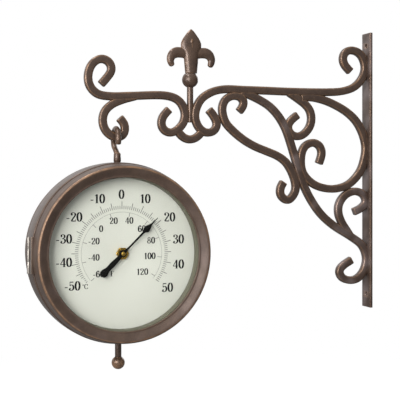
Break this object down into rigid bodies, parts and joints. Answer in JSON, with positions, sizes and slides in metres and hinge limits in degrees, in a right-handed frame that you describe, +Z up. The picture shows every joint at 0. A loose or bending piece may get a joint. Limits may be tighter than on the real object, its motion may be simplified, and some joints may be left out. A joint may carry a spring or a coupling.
{
  "type": "double sided bracket clock",
  "caption": "Wall bracket of bent scroll rods with a hanging round drum: a clock on one face, a dial thermometer on the other, each behind a hinged glazed bezel.",
  "frame": {"origin": "centre of the wall plate's back face, on the wall plane", "axes": "+X into the wall, so the bracket reaches out along -X; -Y is the way the thermometer faces and +Y the way the clock faces; +Z up"},
  "size_m": [0.3482, 0.0726, 0.3248],
  "materials": {
    "antique_bronze": "semi-gloss brown with worn edges",
    "rubbed_copper": "rubbed",
    "brass": "satin",
    "bright_steel": "satin",
    "clear_glass": "clear",
    "cream_dial": "matt",
    "black_pointer": "satin",
    "dark_plastic": "matt",
    "green_board": "matt",
    "copper_winding": "satin",
    "cell_jacket": "gloss"
  },
  "bodies": {
    "bracket": {"wall_plate": "antique_bronze", "main_scroll": "antique_bronze", "arm_scroll": "antique_bronze", "finial_pin": "antique_bronze", "hook_scroll": "antique_bronze", "centre_link": "antique_bronze", "spine": "antique_bronze", "big_c_scroll": "antique_bronze", "brace_scroll": "antique_bronze", "small_s_scroll": "antique_bronze", "foot_scroll": "antique_bronze", "finial_ball": "antique_bronze", "finial": "antique_bronze"},
    "head": {"case_band": "antique_bronze", "screw_eye": "antique_bronze", "eye_nut": "bright_steel", "drop_nut": "bright_steel", "drop_rod": "antique_bronze", "drop_ball": "rubbed_copper", "front_case_leaf": "bright_steel", "rear_case_leaf": "bright_steel", "front_hinge_pin": "bright_steel", "rear_hinge_pin": "bright_steel"},
    "front_door": {"front_bezel": "antique_bronze", "front_glass": "clear_glass", "front_reveal_ring": "antique_bronze", "front_retainer": "bright_steel", "thermometer_dial": "cream_dial", "front_door_leaf": "bright_steel", "thermometer_can": "brass", "dial_bush": "brass", "bimetal_coil": "copper_winding"},
    "pointer": {"needle": "black_pointer", "needle_cap": "brass"},
    "rear_door": {"rear_bezel": "antique_bronze", "rear_glass": "clear_glass", "rear_reveal_ring": "antique_bronze", "rear_retainer": "bright_steel", "clock_dial": "cream_dial", "rear_door_leaf": "bright_steel", "movement_case": "dark_plastic", "movement_cover": "dark_plastic", "battery": "cell_jacket", "contact_plus": "bright_steel", "contact_minus": "bright_steel", "circuit_board": "green_board", "drive_coil": "copper_winding", "fixing_washer": "brass", "fixing_nut": "brass"},
    "minute_works": {"minute_arbor": "brass", "minute_hand": "black_pointer"},
    "intermediate_wheel": {"minute_wheel": "dark_plastic"},
    "hour_works": {"hour_wheel": "dark_plastic", "hour_hand": "black_pointer"},
    "setting_works": {"setting_knob": "dark_plastic"}
  },
  "joints": [
    {"name": "drum_swing", "type": "hinge", "parent": "bracket", "child": "head", "pos_m": [-0.2608, 0, 0.0313], "axis": [1, 0, 0], "range_deg": [-40, 40]},
    {"name": "front_bezel_hinge", "type": "hinge", "parent": "head", "child": "front_door", "pos_m": [-0.3466, -0.0171, -0.077], "axis": [0, 0, -1], "range_deg": [0, 105]},
    {"name": "rear_bezel_hinge", "type": "hinge", "parent": "head", "child": "rear_door", "pos_m": [-0.175, 0.0171, -0.077], "axis": [0, 0, -1], "range_deg": [0, 105]},
    {"name": "pointer_turn", "type": "hinge", "parent": "front_door", "child": "pointer", "pos_m": [-0.2608, -0.02, -0.077], "axis": [0, 1, 0], "range_deg": [-172.9, 82.1]},
    {"name": "minute_hand_turn", "type": "hinge", "parent": "rear_door", "child": "minute_works", "pos_m": [-0.2608, 0.026, -0.077], "axis": [0, -1, 0], "continuous": true},
    {"name": "intermediate_wheel_turn", "type": "hinge", "parent": "rear_door", "child": "intermediate_wheel", "pos_m": [-0.25401, 0.01, -0.07021], "axis": [0, -1, 0], "continuous": true},
    {"name": "hour_hand_turn", "type": "hinge", "parent": "rear_door", "child": "hour_works", "pos_m": [-0.2608, 0.023, -0.077], "axis": [0, -1, 0], "continuous": true},
    {"name": "setting_knob_turn", "type": "hinge", "parent": "rear_door", "child": "setting_works", "pos_m": [-0.24499, 0, -0.06692], "axis": [0, -1, 0], "continuous": true}
  ],
  "couplings": [
    {"joint": "intermediate_wheel_turn", "follows": "minute_hand_turn", "ratio": -0.33333},
    {"joint": "hour_hand_turn", "follows": "minute_hand_turn", "ratio": 0.083333},
    {"joint": "setting_knob_turn", "follows": "minute_hand_turn", "ratio": 1}
  ]
}
